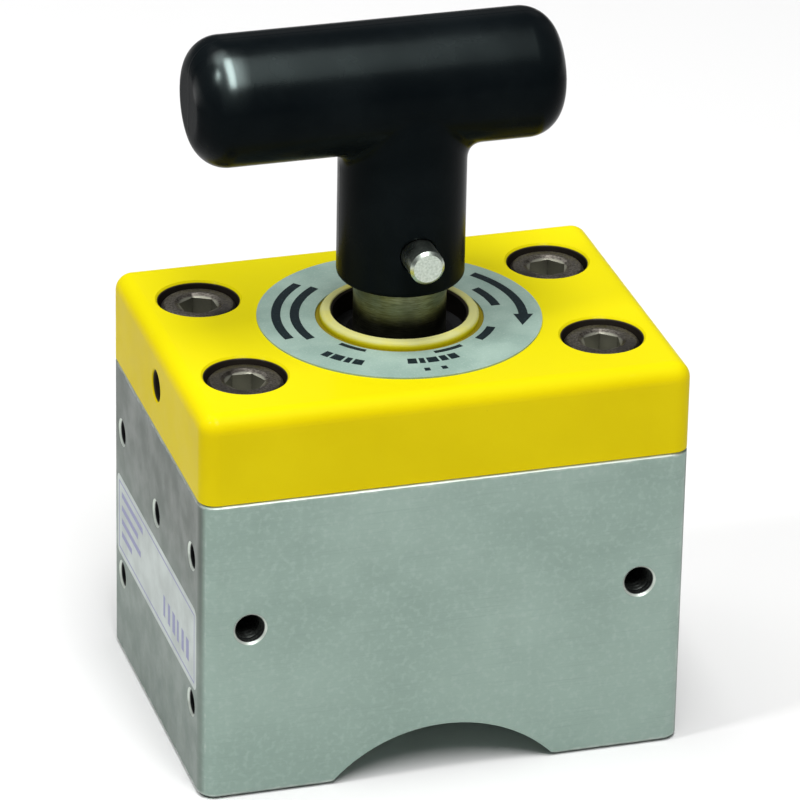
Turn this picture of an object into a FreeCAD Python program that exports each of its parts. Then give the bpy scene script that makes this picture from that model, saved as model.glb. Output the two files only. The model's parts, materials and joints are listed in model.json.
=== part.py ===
import FreeCAD, Part
import math
import os
import Sketcher
from FreeCAD import Placement, Rotation, Vector

# Switchable block lifting magnet with a T-handle.
#
# A plated steel block holds two disc magnets in one vertical bore.  The lower
# disc is fixed and the upper one is turned half a turn by the T-handle, which
# switches the field at the block's underside on and off.  The frame has +Z up,
# its origin under the middle of the block, -Y towards the front, where the
# handle pin stands out, and X across the two poles.  All sizes are millimetres.

# Every size that can be set by itself: alias, value, meaning.
DRIVING_DIMENSIONS = [
    ("block_width", 86.0, "block across the poles, X"),
    ("block_depth", 62.0, "block front to back, Y"),
    ("block_height", 56.0, "block without its cover"),
    ("corner_radius", 3.0, "upright corners of block and cover"),
    ("block_chamfer", 0.6, "broken edges of the block"),
    ("saddle_radius", 27.0, "pipe channel under the block"),
    ("saddle_depth", 9.0, "depth of the channel at its crown"),
    ("floor_web", 3.0, "steel between channel crown and magnet bore"),
    ("side_web", 3.0, "steel left in front of and behind the bore"),
    ("screw_web", 7.0, "bore wall to the axis of a cover screw"),
    ("cover_height", 16.0, "cover above the block"),
    ("cover_edge_radius", 3.0, "rounded top edge of the cover"),
    ("spigot_depth", 5.0, "cover spigot that locates in the bore"),
    ("spigot_gap", 0.05, "radial gap round the spigot"),
    ("ring_groove_depth", 1.6, "O-ring groove in the spigot, radial"),
    ("ring_groove_width", 2.6, "O-ring groove, axial"),
    ("ring_groove_web", 1.0, "O-ring groove to the stop pin"),
    ("screw_inset_x", 11.5, "cover screw to the side faces"),
    ("screw_inset_y", 15.5, "cover screw to the front and back faces"),
    ("screw_radius", 4.0, "M8 shank"),
    ("screw_core_radius", 3.35, "M8 thread, drawn at its core"),
    ("screw_length", 30.0, "under the head"),
    ("screw_head_radius", 6.5, "M8 socket head"),
    ("screw_head_height", 8.0, "M8 socket head"),
    ("screw_socket_flats", 6.0, "hexagon across flats"),
    ("screw_socket_depth", 4.0, "hexagon depth"),
    ("screw_hole_gap", 0.5, "radial gap round shank and head"),
    ("thread_gap", 0.05, "radial gap between drawn thread cores"),
    ("counterbore_depth", 8.8, "head pocket in the cover"),
    ("drill_runout", 2.0, "tapped hole beyond its screw"),
    ("rotor_gap", 0.3, "rotor to the parts above and around it"),
    ("slip_disc_height", 1.0, "bronze disc between the magnets"),
    ("slip_gap", 0.2, "rotating magnet above the slip disc"),
    ("magnet_gap", 0.05, "radial gap of the fixed magnet"),
    ("magnet_chamfer", 0.6, "broken rims of the magnets"),
    ("dowel_radius", 2.0, "dowel that keys the fixed magnet"),
    ("dowel_length", 9.0, "half of it in the block's floor"),
    ("dowel_sink", 5.0, "dowel below the bore floor"),
    ("dowel_inset", 7.0, "bore wall to the dowel's axis"),
    ("plate_height", 7.0, "drive plate"),
    ("lug_width", 8.0, "drive lug, tangential"),
    ("lug_length", 6.0, "drive lug, radial"),
    ("lug_height", 4.0, "drive lug below the plate"),
    ("lug_gap", 0.1, "lug in its notch"),
    ("shaft_radius", 8.0, "drive shaft"),
    ("shaft_rise", 33.0, "shaft above the cover"),
    ("shaft_chamfer", 1.0, "top of the shaft"),
    ("flange_height", 3.0, "shaft flange"),
    ("seat_gap", 0.02, "pressed and spigoted parts"),
    ("running_gap", 0.04, "shaft in its bush"),
    ("bush_wall", 2.0, "bearing bush"),
    ("bush_flange_width", 4.0, "bush flange beyond the bush"),
    ("bush_flange_height", 2.0, "bush flange"),
    ("seal_ledge", 1.46, "seal pocket beyond the bush"),
    ("seal_pocket_depth", 4.5, "below the cover's top face"),
    ("seal_height", 2.0, "shaft seal"),
    ("seal_gap", 0.3, "seal lip round the shaft"),
    ("pocket_chamfer", 0.5, "inner edge of the collar"),
    ("collar_height", 1.5, "raised collar round the shaft, above the cover"),
    ("collar_width", 2.2, "collar outside the seal pocket"),
    ("collar_edge_radius", 0.8, "outer edge of the collar"),
    ("shaft_screw_radius", 1.5, "M3 countersunk"),
    ("shaft_screw_core_radius", 1.2, "M3 thread, drawn at its core"),
    ("shaft_screw_head_radius", 2.8, "M3 countersunk head"),
    ("shaft_screw_length", 6.0, "over all"),
    ("shaft_screw_socket_flats", 2.0, "hexagon across flats"),
    ("shaft_screw_socket_depth", 1.0, "hexagon depth"),
    ("stop_pin_radius", 2.5, "stop pin"),
    ("stop_pin_length", 12.0, "stop pin"),
    ("stop_groove_depth", 3.0, "groove in the drive plate"),
    ("stop_gap", 0.3, "pin to the groove's walls, ends and floor"),
    ("stop_wall", 1.2, "between flange seat and stop groove"),
    ("detent_drop", 8.0, "detent axis below the cover's top face"),
    ("detent_hole_radius", 2.5, "tapped for the M6 screw"),
    ("ball_radius", 2.4, "detent ball"),
    ("ball_standoff", 2.1, "ball centre outside the shaft's surface"),
    ("ball_travel", 0.8, "ball into its dimple"),
    ("ball_gap", 0.3, "ball to ring groove and dimple"),
    ("detent_screw_inset", 2.0, "set screw below the cover's side"),
    ("detent_screw_length", 12.0, "M6 set screw"),
    ("detent_socket_flats", 3.0, "hexagon across flats"),
    ("detent_socket_depth", 3.0, "hexagon depth"),
    ("spring_wire_radius", 0.3, "detent spring"),
    ("spring_coils", 9.0, "turns of the detent spring"),
    ("spring_hole_gap", 0.25, "spring inside the detent hole"),
    ("handle_gap", 8.4, "cover to the handle's stem"),
    ("handle_axis_height", 43.5, "axis of the bar above the cover"),
    ("bar_radius", 11.2, "handle bar"),
    ("bar_long_end", 37.4, "bar from the shaft to its long end"),
    ("bar_short_end", 26.8, "bar from the shaft to its short end"),
    ("bar_end_radius", 6.0, "rounded ends of the bar"),
    ("stem_radius", 11.0, "handle stem"),
    ("stem_edge_radius", 1.0, "lower edge of the stem"),
    ("stem_fillet_radius", 1.2, "stem to bar"),
    ("stem_bore_gap", 0.05, "stem on the shaft"),
    ("stem_bore_headroom", 1.0, "bore above the shaft"),
    ("pin_radius", 3.0, "handle pin"),
    ("pin_rise", 7.9, "handle pin above the stem's lower edge"),
    ("pin_proud", 5.2, "handle pin in front of the stem"),
    ("pin_chamfer", 0.5, "handle pin ends"),
    ("front_hole_radius", 2.5, "M6 tapping hole"),
    ("front_hole_inset", 8.5, "front holes to the side faces"),
    ("back_hole_inset", 13.0, "back holes to the side faces"),
    ("front_hole_level", 32.0, "front and back holes above the base"),
    ("front_hole_depth", 10.0, "front and back holes"),
    ("side_hole_radius", 2.1, "M5 tapping hole"),
    ("side_hole_inset", 7.0, "side corner holes to front and back"),
    ("side_hole_low", 15.5, "lower side holes above the base"),
    ("side_hole_high", 43.5, "upper side holes above the base"),
    ("side_hole_middle", 39.6, "middle side hole above the base"),
    ("side_hole_depth", 8.0, "side holes"),
    ("hole_chamfer", 0.5, "mouths of the tapped holes"),
    ("label_thickness", 0.3, "foil labels"),
    ("dial_label_margin", 3.0, "dial label outside the seal pocket"),
    ("dial_label_width", 10.0, "radial width of the dial label"),
    ("dial_label_edge", 1.0, "least flat cover beside the dial label"),
    ("side_label_low", 19.0, "side label above the base"),
    ("side_label_height", 15.5, "side label"),
    ("side_label_margin", 0.6, "side label to the rounded corners"),
    ("side_label_radius", 1.5, "corners of the side label"),
]

# Places and sizes that follow from the driving ones.
DERIVED_DIMENSIONS = [
    ("half_width", "Sizes.block_width / 2"),
    ("half_depth", "Sizes.block_depth / 2"),
    ("cover_top", "Sizes.block_height + Sizes.cover_height"),
    ("spigot_bottom", "Sizes.block_height - Sizes.spigot_depth"),
    ("screw_x", "Fits.half_width - Sizes.screw_inset_x"),
    ("screw_y", "Fits.half_depth - Sizes.screw_inset_y"),
    ("screw_grip", "Sizes.cover_height - Sizes.counterbore_depth"),
    ("screw_seat", "Sizes.block_height + Fits.screw_grip"),
    ("screw_end", "Fits.screw_seat - Sizes.screw_length"),
    ("bore_floor", "Sizes.saddle_depth + Sizes.floor_web"),
    ("bore_radius", "min(Fits.half_depth - Sizes.side_web;"
                    " hypot(Fits.screw_x; Fits.screw_y) - Sizes.screw_web)"),
    ("saddle_centre", "Sizes.saddle_depth - Sizes.saddle_radius"),
    ("plate_top", "Fits.spigot_bottom - Sizes.rotor_gap"),
    ("plate_bottom", "Fits.plate_top - Sizes.plate_height"),
    ("rotor_radius", "Fits.bore_radius - Sizes.rotor_gap"),
    ("magnet_height", "(Fits.plate_bottom - Sizes.slip_gap"
                      " - Sizes.slip_disc_height - Fits.bore_floor) / 2"),
    ("fixed_magnet_top", "Fits.bore_floor + Fits.magnet_height"),
    ("slip_disc_top", "Fits.fixed_magnet_top + Sizes.slip_disc_height"),
    ("rotor_bottom", "Fits.slip_disc_top + Sizes.slip_gap"),
    ("dowel_bottom", "Fits.bore_floor - Sizes.dowel_sink"),
    ("dowel_offset", "Fits.bore_radius - Sizes.dowel_inset"),
    ("ring_groove_floor", "Fits.bore_radius - Sizes.spigot_gap"
                          " - Sizes.ring_groove_depth"),
    ("ring_section", "(Fits.bore_radius - Fits.ring_groove_floor) / 2"),
    ("stop_groove_half", "Sizes.stop_pin_radius + Sizes.stop_gap"),
    ("stop_circle", "Fits.ring_groove_floor - Sizes.ring_groove_web"
                    " - Sizes.stop_pin_radius"),
    ("shaft_top", "Fits.cover_top + Sizes.shaft_rise"),
    ("flange_radius", "Fits.stop_circle - Fits.stop_groove_half - Sizes.stop_wall"),
    ("flange_bottom", "Fits.plate_top - Sizes.flange_height"),
    ("shaft_screw_circle", "(Sizes.shaft_radius + Fits.flange_radius) / 2"),
    ("bush_inner_radius", "Sizes.shaft_radius + Sizes.running_gap"),
    ("bush_outer_radius", "Fits.bush_inner_radius + Sizes.bush_wall"),
    ("bush_flange_radius", "Fits.bush_outer_radius + Sizes.bush_flange_width"),
    ("bush_flange_top", "Fits.spigot_bottom + Sizes.bush_flange_height"),
    ("seal_bottom", "Fits.cover_top - Sizes.seal_pocket_depth"),
    ("seal_radius", "Fits.bush_outer_radius + Sizes.seal_ledge"),
    ("collar_top", "Fits.cover_top + Sizes.collar_height"),
    ("collar_radius", "Fits.seal_radius + Sizes.collar_width"),
    ("stop_groove_floor", "Fits.plate_top - Sizes.stop_groove_depth"),
    ("stop_pin_bottom", "Fits.stop_groove_floor + Sizes.stop_gap"),
    ("detent_level", "Fits.cover_top - Sizes.detent_drop"),
    ("ball_seat", "Sizes.shaft_radius + Sizes.ball_standoff"),
    ("dimple_seat", "Fits.ball_seat - Sizes.ball_travel"),
    ("detent_groove_radius", "Sizes.ball_radius + Sizes.ball_gap"),
    ("detent_screw_outer", "Fits.half_width - Sizes.detent_screw_inset"),
    ("detent_screw_inner", "Fits.detent_screw_outer - Sizes.detent_screw_length"),
    ("spring_length", "Fits.detent_screw_inner - Fits.ball_seat - Sizes.ball_radius"),
    ("spring_radius", "Sizes.detent_hole_radius - Sizes.spring_hole_gap"
                      " - Sizes.spring_wire_radius"),
    ("spigot_middle", "Sizes.block_height - Sizes.spigot_depth / 2"),
    ("stem_bottom", "Fits.cover_top + Sizes.handle_gap"),
    ("bar_axis", "Fits.cover_top + Sizes.handle_axis_height"),
    ("pin_level", "Fits.stem_bottom + Sizes.pin_rise"),
    ("pin_length", "Sizes.stem_radius * 2 + Sizes.pin_proud"),
    ("dial_label_inner", "Fits.seal_radius + Sizes.dial_label_margin"),
    ("dial_label_outer", "min(Fits.dial_label_inner + Sizes.dial_label_width;"
                         " Fits.half_depth - Sizes.cover_edge_radius"
                         " - Sizes.dial_label_edge)"),
]

HANDLE_TURN_DEG = 180.0
SHAFT_SCREW_COUNT = 3

# Edges are found by where they lie, to within this distance.
SAME_PLACE = 1e-3

document = FreeCAD.newDocument("LiftingMagnet")


def fill_sheet():
    """Write the driving dimensions: name, value and meaning in each row."""
    sheet = document.addObject("Spreadsheet::Sheet", "Sizes")
    for row, (alias, value, meaning) in enumerate(DRIVING_DIMENSIONS, start=1):
        sheet.set(f"A{row}", alias)
        sheet.set(f"B{row}", str(value))
        sheet.setAlias(f"B{row}", alias)
        sheet.set(f"C{row}", meaning)
    document.recompute()


def bind_derived():
    """Bind each derived dimension to the sheet, as a property of one object."""
    fits = document.addObject("App::VarSet", "Fits")
    for name, formula in DERIVED_DIMENSIONS:
        fits.addProperty("App::PropertyFloat", name, "Fits")
        fits.setExpression(name, formula)
    document.recompute()


fill_sheet()
bind_derived()


def number(formula):
    """The present value of a formula over the sheet."""
    result = document.Fits.evalExpression(str(formula))
    return float(getattr(result, "Value", result))


def origin_plane(body, role):
    return next(item for item in body.Origin.OriginFeatures if item.Role == role)


def new_body(name):
    body = document.addObject("PartDesign::Body", name)
    body.Label = name
    return body


def sketch_on(body, name, role, offset="0"):
    """An empty sketch on one of the body's own origin planes, moved by offset."""
    sketch = body.newObject("Sketcher::SketchObject", name)
    sketch.AttachmentSupport = [(origin_plane(body, role), "")]
    sketch.MapMode = "FlatFace"
    sketch.setExpression("AttachmentOffset.Base.z", str(offset))
    return sketch


def bind_point(sketch, geometry, position, across, up):
    """Hold a point of the sketch at two formulas."""
    for kind, formula, axis in (("DistanceX", across, -2), ("DistanceY", up, -1)):
        if formula == "0":
            sketch.addConstraint(
                Sketcher.Constraint("PointOnObject", geometry, position, axis))
            continue
        constraint = Sketcher.Constraint(kind, -1, 1, geometry, position, number(formula))
        index = sketch.addConstraint(constraint)
        sketch.setExpression(f"Constraints[{index}]", formula)


def draw_outline(sketch, corners):
    """A closed outline of straight lines through corners given as formulas."""
    places = [Vector(number(across), number(up), 0) for across, up in corners]
    count = len(corners)
    first = sketch.GeometryCount
    for start, end in zip(places, places[1:] + places[:1]):
        sketch.addGeometry(Part.LineSegment(start, end), False)
    for index in range(count):
        following = first + (index + 1) % count
        sketch.addConstraint(
            Sketcher.Constraint("Coincident", first + index, 2, following, 1))
    for index, (across, up) in enumerate(corners):
        bind_point(sketch, first + index, 1, across, up)


def draw_circles(sketch, centres, radius):
    """One circle of the same radius at each centre."""
    for across, up in centres:
        centre = Vector(number(across), number(up), 0)
        circle = Part.Circle(centre, Vector(0, 0, 1), number(radius))
        index = sketch.addGeometry(circle, False)
        size = sketch.addConstraint(Sketcher.Constraint("Radius", index, number(radius)))
        sketch.setExpression(f"Constraints[{size}]", radius)
        bind_point(sketch, index, 3, across, up)


def rectangle(half_across, half_up):
    return [
        (f"-({half_across})", f"-({half_up})"),
        (half_across, f"-({half_up})"),
        (half_across, half_up),
        (f"-({half_across})", half_up),
    ]


def span(low_across, high_across, low_up, high_up):
    return [
        (low_across, low_up),
        (high_across, low_up),
        (high_across, high_up),
        (low_across, high_up),
    ]


def pad(body, sketch, length, backwards=False):
    feature = body.newObject("PartDesign::Pad", sketch.Name + "Pad")
    feature.Profile = sketch
    feature.setExpression("Length", length)
    feature.Reversed = backwards
    document.recompute()
    return feature


def pocket(body, sketch, depth, backwards=False):
    """Cut the sketch into the body, and make sure that it took steel away."""
    before = body.Shape.Volume
    feature = body.newObject("PartDesign::Pocket", sketch.Name + "Pocket")
    feature.Profile = sketch
    feature.setExpression("Length", depth)
    feature.Reversed = backwards
    document.recompute()
    check_removed(body, before, feature)
    return feature


def check_removed(body, before, feature):
    if not body.Shape.Volume < before - 1e-3:
        raise RuntimeError(f"{feature.Name} removes nothing from {body.Label}")


def drill(body, name, role, offset, centres, radius, depth, backwards=False):
    """Round holes from an origin plane moved by offset."""
    sketch = sketch_on(body, name, role, offset)
    draw_circles(sketch, centres, radius)
    return pocket(body, sketch, depth, backwards)


def turn(body, name, corners):
    """Revolve an outline of (radius, height) corners about the Z axis."""
    sketch = sketch_on(body, name, "XZ_Plane")
    draw_outline(sketch, corners)
    feature = body.newObject("PartDesign::Revolution", name + "Turned")
    feature.Profile = sketch
    feature.ReferenceAxis = (sketch, ["V_Axis"])
    feature.Angle = 360
    document.recompute()
    return feature


def turn_away(body, sketch, angle=360):
    """Cut a sketch out of the body by turning it about the Z axis."""
    before = body.Shape.Volume
    feature = body.newObject("PartDesign::Groove", sketch.Name + "Groove")
    feature.Profile = sketch
    feature.ReferenceAxis = (sketch, ["V_Axis"])
    feature.Angle = angle
    document.recompute()
    check_removed(body, before, feature)
    return feature


def edges_where(body, test):
    """Names of the body's edges that pass a test."""
    numbered = enumerate(body.Shape.Edges, start=1)
    return [f"Edge{index}" for index, edge in numbered if test(edge)]


def dress(body, kind, size, test):
    """Fillet or chamfer the edges that pass a test."""
    names = edges_where(body, test)
    if not names:
        raise RuntimeError(f"no edge to dress on {body.Label}")
    base = body.Tip
    feature = body.newObject(f"PartDesign::{kind}", f"{body.Name}{kind}")
    feature.Base = (base, names)
    feature.setExpression("Radius" if kind == "Fillet" else "Size", size)
    document.recompute()
    return feature


def is_upright(edge):
    box = edge.BoundBox
    return box.XLength < SAME_PLACE and box.YLength < SAME_PLACE


def in_plane(axis, level):
    """A test for edges that lie in a plane across an axis."""
    def test(edge):
        low = getattr(edge.BoundBox, axis + "Min")
        high = getattr(edge.BoundBox, axis + "Max")
        return abs(low - level) < SAME_PLACE and abs(high - level) < SAME_PLACE
    return test


def is_circle(edge, radius):
    """Whether the edge is a whole circle of this radius."""
    return edge.isClosed() and abs(edge.Length - math.tau * radius) < SAME_PLACE


def is_saddle_shaped(edge):
    """Whether the edge bends in all three directions, as where two rounds meet."""
    box = edge.BoundBox
    return min(box.XLength, box.YLength, box.ZLength) > 1.0


def circles_in(axis, level, radius):
    """A test for circles of one radius in a plane across an axis."""
    flat = in_plane(axis, level)
    return lambda edge: flat(edge) and is_circle(edge, radius)


def subtract(body, kind, name, sizes, place):
    """Cut a PartDesign primitive placed by formulas out of the body."""
    before = body.Shape.Volume
    feature = body.newObject(f"PartDesign::Subtractive{kind}", name)
    for size, formula in sizes.items():
        feature.setExpression(size, formula)
    for axis, formula in zip("xyz", place):
        feature.setExpression(f".Placement.Base.{axis}", formula)
    document.recompute()
    check_removed(body, before, feature)
    return feature


def hexagon(sketch, flats):
    """A regular hexagon about the sketch's origin, its flats across the X axis."""
    across, up = f"{flats} / 2", f"{flats} / (2 * sqrt(3))"
    draw_outline(sketch, [
        (across, f"-({up})"),
        (across, up),
        ("0", f"2 * ({up})"),
        (f"-({across})", up),
        (f"-({across})", f"-({up})"),
        ("0", f"-2 * ({up})"),
    ])


SCREW_PLACES = [
    ("Fits.screw_x", "Fits.screw_y"),
    ("-Fits.screw_x", "Fits.screw_y"),
    ("-Fits.screw_x", "-Fits.screw_y"),
    ("Fits.screw_x", "-Fits.screw_y"),
]


def make_body_block():
    """The steel block: pipe channel below, magnet bore above, tapped all round."""
    body = new_body("body_block")
    outline = sketch_on(body, "BlockOutline", "XY_Plane")
    draw_outline(outline, rectangle("Fits.half_width", "Fits.half_depth"))
    pad(body, outline, "Sizes.block_height")
    dress(body, "Fillet", "Sizes.corner_radius", is_upright)
    drill(body, "PipeSaddle", "XZ_Plane", "Fits.half_depth",
          [("0", "Fits.saddle_centre")], "Sizes.saddle_radius", "Sizes.block_depth")
    base_edges = in_plane("Z", 0.0)
    top_edges = in_plane("Z", number("Sizes.block_height"))
    dress(body, "Chamfer", "Sizes.block_chamfer",
          lambda edge: base_edges(edge) or top_edges(edge))
    drill(body, "MagnetBore", "XY_Plane", "Sizes.block_height",
          [("0", "0")], "Fits.bore_radius", "Sizes.block_height - Fits.bore_floor")
    drill(body, "DowelHole", "XY_Plane", "Fits.bore_floor",
          [("Fits.dowel_offset", "0")],
          "Sizes.dowel_radius + Sizes.seat_gap", "Sizes.dowel_sink")
    drill(body, "CoverScrewHoles", "XY_Plane", "Sizes.block_height", SCREW_PLACES,
          "Sizes.screw_core_radius + Sizes.thread_gap",
          "Sizes.block_height - Fits.screw_end + Sizes.drill_runout")
    drill_front_and_back(body)
    drill_sides(body)
    recess_side_label(body)
    return body


def drill_front_and_back(body):
    """Two tapped holes in the front face and two, closer together, in the back face."""
    for name, inset, side in (("FrontHoles", "Sizes.front_hole_inset", 1),
                              ("BackHoles", "Sizes.back_hole_inset", -1)):
        centres = [(f"{hand} * (Fits.half_width - {inset})", "Sizes.front_hole_level")
                   for hand in (1, -1)]
        drill(body, name, "XZ_Plane", f"{side} * Fits.half_depth", centres,
              "Sizes.front_hole_radius", "Sizes.front_hole_depth", side < 0)
        mouth = circles_in("Y", -side * number("Fits.half_depth"),
                           number("Sizes.front_hole_radius"))
        dress(body, "Chamfer", "Sizes.hole_chamfer", mouth)


def drill_sides(body):
    """Four corner holes and a middle hole in each side face."""
    hole_y = "Fits.half_depth - Sizes.side_hole_inset"
    centres = [
        (hole_y, "Sizes.side_hole_low"),
        (hole_y, "Sizes.side_hole_high"),
        (f"-({hole_y})", "Sizes.side_hole_low"),
        (f"-({hole_y})", "Sizes.side_hole_high"),
        ("0", "Sizes.side_hole_middle"),
    ]
    for name, side in (("RightHoles", 1), ("LeftHoles", -1)):
        drill(body, name, "YZ_Plane", f"{side} * Fits.half_width", centres,
              "Sizes.side_hole_radius", "Sizes.side_hole_depth", side < 0)
        mouth = circles_in("X", side * number("Fits.half_width"),
                           number("Sizes.side_hole_radius"))
        dress(body, "Chamfer", "Sizes.hole_chamfer", mouth)


def side_label_outline(sketch):
    half_length = "Fits.half_depth - Sizes.corner_radius - Sizes.side_label_margin"
    draw_outline(sketch, span(
        f"-({half_length})", half_length,
        "Sizes.side_label_low", "Sizes.side_label_low + Sizes.side_label_height"))


def recess_side_label(body):
    """A shallow milled pocket, as deep as the foil that lies in it."""
    sketch = sketch_on(body, "SideLabelRecess", "YZ_Plane", "-Fits.half_width")
    side_label_outline(sketch)
    pocket(body, sketch, "Sizes.label_thickness", True)
    dress(body, "Fillet", "Sizes.side_label_radius", is_label_corner)


def is_label_corner(edge):
    """A short edge along X, as long as the label is thick."""
    box = edge.BoundBox
    thickness = number("Sizes.label_thickness")
    lies_across = box.YLength < SAME_PLACE and box.ZLength < SAME_PLACE
    return lies_across and abs(box.XLength - thickness) < SAME_PLACE


def make_side_label():
    """Foil label, flush with the left face."""
    body = new_body("side_label")
    sketch = sketch_on(body, "SideLabelOutline", "YZ_Plane", "-Fits.half_width")
    side_label_outline(sketch)
    pad(body, sketch, "Sizes.label_thickness")
    dress(body, "Fillet", "Sizes.side_label_radius", is_label_corner)
    return body


def make_dial_label():
    """Ring-shaped foil label on the cover, round the shaft."""
    body = new_body("dial_label")
    turn(body, "DialLabelSection", span(
        "Fits.dial_label_inner", "Fits.dial_label_outer",
        "Fits.cover_top", "Fits.cover_top + Sizes.label_thickness"))
    return body


def make_fixed_magnet():
    """Lower disc magnet, keyed to the block by a dowel."""
    body = new_body("fixed_magnet")
    turn(body, "FixedMagnetSection", span(
        "0", "Fits.bore_radius - Sizes.magnet_gap",
        "Fits.bore_floor", "Fits.fixed_magnet_top"))
    rim = number("Fits.bore_radius - Sizes.magnet_gap")
    dress(body, "Chamfer", "Sizes.magnet_chamfer", lambda edge: is_circle(edge, rim))
    drill(body, "FixedMagnetKey", "XY_Plane", "Fits.bore_floor",
          [("Fits.dowel_offset", "0")], "Sizes.dowel_radius + Sizes.seat_gap",
          "Sizes.dowel_length - Sizes.dowel_sink + Sizes.slip_gap", True)
    return body


def make_magnet_dowel():
    """Dowel between the block's floor and the fixed magnet."""
    body = new_body("magnet_dowel")
    sketch = sketch_on(body, "DowelSection", "XY_Plane", "Fits.dowel_bottom")
    draw_circles(sketch, [("Fits.dowel_offset", "0")], "Sizes.dowel_radius")
    pad(body, sketch, "Sizes.dowel_length")
    return body


def make_slip_disc():
    """Bearing disc that the upper magnet turns on."""
    body = new_body("slip_disc")
    turn(body, "SlipDiscSection", span(
        "0", "Fits.rotor_radius", "Fits.fixed_magnet_top", "Fits.slip_disc_top"))
    return body


def cut_lug_notch(body, side):
    """A rim notch in the rotating magnet for one drive lug."""
    half = "Sizes.lug_width / 2 + Sizes.lug_gap"
    inner = "Fits.rotor_radius - Sizes.lug_length - Sizes.lug_gap"
    reach = "Fits.rotor_radius + Sizes.lug_length"
    sketch = sketch_on(body, f"LugNotch{'Back' if side > 0 else 'Front'}", "XY_Plane",
                       "Fits.plate_bottom")
    low, high = (inner, reach) if side > 0 else (f"-({reach})", f"-({inner})")
    draw_outline(sketch, span(f"-({half})", half, low, high))
    pocket(body, sketch, "Sizes.lug_height + Sizes.lug_gap")


def make_rotating_magnet():
    """Upper disc magnet, turned by the two lugs of the drive plate."""
    body = new_body("rotating_magnet")
    turn(body, "RotatingMagnetSection", span(
        "0", "Fits.rotor_radius", "Fits.rotor_bottom", "Fits.plate_bottom"))
    rim = number("Fits.rotor_radius")
    dress(body, "Chamfer", "Sizes.magnet_chamfer", lambda edge: is_circle(edge, rim))
    for side in (1, -1):
        cut_lug_notch(body, side)
    return body


def make_drive_plate():
    """Steel plate on the upper magnet: lugs below, flange seat and stop groove above."""
    body = new_body("drive_plate")
    turn(body, "PlateSection", span(
        "0", "Fits.rotor_radius", "Fits.plate_bottom", "Fits.plate_top"))
    drill(body, "FlangeSeat", "XY_Plane", "Fits.plate_top", [("0", "0")],
          "Fits.flange_radius + Sizes.seat_gap", "Sizes.flange_height")
    cut_stop_groove(body)
    for side in (1, -1):
        add_drive_lug(body, side)
    drill(body, "ShaftScrewThreads", "XY_Plane", "Fits.flange_bottom",
          [("Fits.shaft_screw_circle", "0")],
          "Sizes.shaft_screw_core_radius + Sizes.thread_gap",
          "Fits.flange_bottom - Fits.plate_bottom")
    repeat_round_axis(body, "ShaftScrewThreadCircle")
    return body


def repeat_round_axis(body, name):
    """Repeat the body's last feature evenly about the Z axis."""
    original = body.Tip
    pattern = body.newObject("PartDesign::PolarPattern", name)
    pattern.Originals = [original]
    pattern.Axis = (original.Profile[0], ["N_Axis"])
    pattern.Angle = 360
    pattern.Occurrences = SHAFT_SCREW_COUNT
    body.Tip = pattern
    document.recompute()


def cut_stop_groove(body):
    """Half-turn groove for the stop pin, from +X round the back to -X."""
    inner = "Fits.stop_circle - Fits.stop_groove_half"
    outer = "Fits.stop_circle + Fits.stop_groove_half"
    section = sketch_on(body, "StopGrooveSection", "XZ_Plane")
    draw_outline(section, span(inner, outer, "Fits.stop_groove_floor", "Fits.plate_top"))
    turn_away(body, section, HANDLE_TURN_DEG)
    drill(body, "StopGrooveEnds", "XY_Plane", "Fits.plate_top",
          [("Fits.stop_circle", "0"), ("-Fits.stop_circle", "0")],
          "Fits.stop_groove_half", "Sizes.stop_groove_depth")


def add_drive_lug(body, side):
    """A lug under the plate, its outer face on the plate's rim."""
    half = "Sizes.lug_width / 2"
    inner = "Fits.rotor_radius - Sizes.lug_length"
    outer = "sqrt(Fits.rotor_radius ^ 2 - (Sizes.lug_width / 2) ^ 2)"
    sketch = sketch_on(body, f"Lug{'Back' if side > 0 else 'Front'}", "XY_Plane",
                       "Fits.plate_bottom")
    low, high = (inner, outer) if side > 0 else (f"-({outer})", f"-({inner})")
    draw_outline(sketch, span(f"-({half})", half, low, high))
    pad(body, sketch, "Sizes.lug_height", True)


def make_drive_shaft():
    """Shaft with its flange, ring groove and dimples for the detent, and pin hole."""
    body = new_body("drive_shaft")
    turn(body, "ShaftSection", [
        ("0", "Fits.flange_bottom"),
        ("Fits.flange_radius", "Fits.flange_bottom"),
        ("Fits.flange_radius", "Fits.plate_top"),
        ("Sizes.shaft_radius", "Fits.plate_top"),
        ("Sizes.shaft_radius", "Fits.shaft_top - Sizes.shaft_chamfer"),
        ("Sizes.shaft_radius - Sizes.shaft_chamfer", "Fits.shaft_top"),
        ("0", "Fits.shaft_top"),
    ])
    ring_groove = sketch_on(body, "DetentRingGroove", "XZ_Plane")
    draw_circles(ring_groove, [("Fits.ball_seat", "Fits.detent_level")],
                 "Fits.detent_groove_radius")
    turn_away(body, ring_groove)
    for name, side in (("OffDimple", -1), ("OnDimple", 1)):
        subtract(body, "Sphere", name, {"Radius": "Fits.detent_groove_radius"},
                 (f"{side} * Fits.dimple_seat", "0", "Fits.detent_level"))
    drill(body, "ShaftPinHole", "XZ_Plane", "Fits.flange_radius", [("0", "Fits.pin_level")],
          "Sizes.pin_radius + Sizes.seat_gap", "2 * Fits.flange_radius")
    cut_countersinks(body)
    return body


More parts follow.
